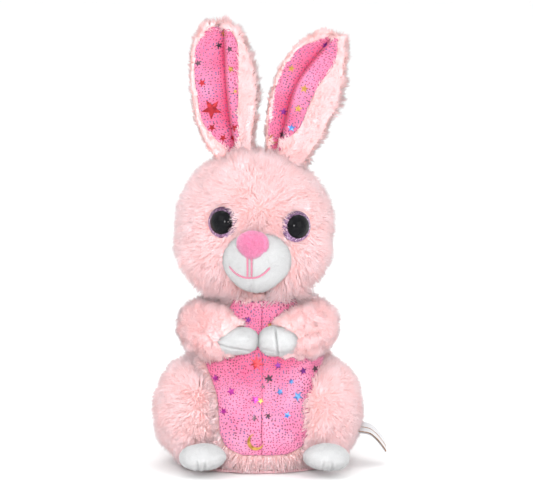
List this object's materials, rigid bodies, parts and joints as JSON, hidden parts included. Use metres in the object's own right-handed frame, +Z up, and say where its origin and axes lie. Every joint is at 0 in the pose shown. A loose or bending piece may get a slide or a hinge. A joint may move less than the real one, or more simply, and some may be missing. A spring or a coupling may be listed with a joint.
{
  "type": "interactive plush pet",
  "caption": "Sitting plush rabbit toy with long pink fur, glitter ears and belly, nodding head on a hidden geared neck, soft arms and a battery base.",
  "frame": {"origin": "middle of the fabric base on the floor", "axes": "+Z up along the ears, -Y is the front the face looks to, +X is the toy's own left"},
  "size_m": [0.1275, 0.125, 0.242],
  "materials": {
    "fur_pink": "long pile plush",
    "glitter_pink": "foil-dotted velvet",
    "velour_white": "short pile velour",
    "nose_pink": "flocked",
    "thread_pink": "embroidery thread",
    "ribbon_white": "satin ribbon",
    "stuffing_white": "polyester fibre",
    "eye_lilac": "glitter under clear",
    "eye_black": "high gloss",
    "plastic_white": "moulded",
    "plastic_grey": "moulded",
    "plastic_black": "moulded",
    "gear_white": "acetal",
    "steel": "drawn",
    "nickel": "plated",
    "motor_steel": "pressed",
    "board_green": "solder mask",
    "cell_wrap": "plain wrap",
    "lead_red": "insulated"
  },
  "bodies": {
    "base": {"base_cloth": "fur_pink", "base_case": "plastic_white", "cells": "cell_wrap", "contact_plates": "nickel", "cell_springs": "nickel", "switch_case": "steel", "torso_cover": "fur_pink", "torso_stuffing": "stuffing_white", "belly_panel_left": "glitter_pink", "belly_panel_right": "glitter_pink", "haunch_left": "fur_pink", "haunch_right": "fur_pink", "foot_left": "velour_white", "foot_right": "velour_white", "tail": "fur_pink", "care_label": "ribbon_white", "axle_second": "steel", "axle_first": "steel", "motor_can": "motor_steel", "gearbox_left": "plastic_grey", "gearbox_right": "plastic_grey", "gearbox_screws": "steel", "circuit_board": "board_green", "board_parts": "plastic_black", "speaker": "plastic_black", "microphone": "steel", "tummy_switch": "plastic_black", "switch_board": "board_green", "plunger_spring": "steel", "leads": "lead_red"},
    "battery_door": {"battery_door": "plastic_white", "door_screw": "steel"},
    "switch_knob": {"switch_knob": "plastic_black"},
    "arm_left": {"arm_sleeve_left": "fur_pink", "paw_left": "velour_white"},
    "arm_right": {"arm_sleeve_right": "fur_pink", "paw_right": "velour_white"},
    "head": {"head_cover": "fur_pink", "head_stuffing": "stuffing_white", "head_frame": "plastic_grey", "head_shaft": "steel", "muzzle": "velour_white", "nose": "nose_pink", "mouth": "thread_pink", "eye_iris_left": "eye_lilac", "eye_iris_right": "eye_lilac", "eye_pupil_left": "eye_black", "eye_pupil_right": "eye_black", "eye_washer_left": "plastic_white", "eye_washer_right": "plastic_white", "sector_gear": "gear_white"},
    "ear_left": {"ear_back_left": "fur_pink", "ear_lining_left": "glitter_pink"},
    "ear_right": {"ear_back_right": "fur_pink", "ear_lining_right": "glitter_pink"},
    "gear_second": {"gear_second": "gear_white"},
    "gear_first": {"gear_first": "gear_white"},
    "motor_rotor": {"motor_pinion": "gear_white", "motor_shaft": "steel"},
    "tummy_plunger": {"tummy_plunger": "plastic_white"}
  },
  "joints": [
    {"name": "head_nod", "type": "hinge", "parent": "base", "child": "head", "pos_m": [0, 0, 0.132], "axis": [1, 0, 0], "range_deg": [-8, 8]},
    {"name": "gear_second_turn", "type": "hinge", "parent": "base", "child": "gear_second", "pos_m": [0, 0, 0.1072], "axis": [1, 0, 0], "range_deg": [-34, 34]},
    {"name": "gear_first_turn", "type": "hinge", "parent": "base", "child": "gear_first", "pos_m": [0, 0, 0.0904], "axis": [1, 0, 0], "range_deg": [-84, 84]},
    {"name": "motor_turn", "type": "hinge", "parent": "base", "child": "motor_rotor", "pos_m": [0, 0, 0.0778], "axis": [1, 0, 0], "range_deg": [-209, 209]},
    {"name": "arm_left_swing", "type": "hinge", "parent": "base", "child": "arm_left", "pos_m": [0.028, -0.004, 0.078], "axis": [0, -0.1219, 0.9925], "range_deg": [0, 35], "stiffness_Nm_per_rad": 0.02},
    {"name": "arm_right_swing", "type": "hinge", "parent": "base", "child": "arm_right", "pos_m": [-0.031, -0.004, 0.078], "axis": [0, 0.1219, -0.9925], "range_deg": [0, 35], "stiffness_Nm_per_rad": 0.02},
    {"name": "ear_left_bend", "type": "hinge", "parent": "head", "child": "ear_left", "pos_m": [0.0095, 0, 0.1673], "axis": [0.9205, 0, -0.3907], "range_deg": [-20, 20], "stiffness_Nm_per_rad": 0.03},
    {"name": "ear_right_bend", "type": "hinge", "parent": "head", "child": "ear_right", "pos_m": [-0.0125, 0, 0.1678], "axis": [0.9848, 0, 0.1736], "range_deg": [-20, 20], "stiffness_Nm_per_rad": 0.03},
    {"name": "tummy_press", "type": "slide", "parent": "base", "child": "tummy_plunger", "axis": [0, 1, 0], "range_m": [0, 0.0015], "stiffness_N_per_m": 300, "deforming": ["plunger_spring"]},
    {"name": "power_slide", "type": "slide", "parent": "base", "child": "switch_knob", "axis": [0, 1, 0], "range_m": [0, 0.0035]},
    {"name": "battery_door_swing", "type": "hinge", "parent": "base", "child": "battery_door", "pos_m": [0, 0.0265, 0], "axis": [1, 0, 0], "range_deg": [0, 80]}
  ],
  "couplings": [
    {"joint": "gear_second_turn", "follows": "head_nod", "ratio": -4.1667},
    {"joint": "gear_first_turn", "follows": "head_nod", "ratio": 10.417},
    {"joint": "motor_turn", "follows": "head_nod", "ratio": -26.042}
  ]
}
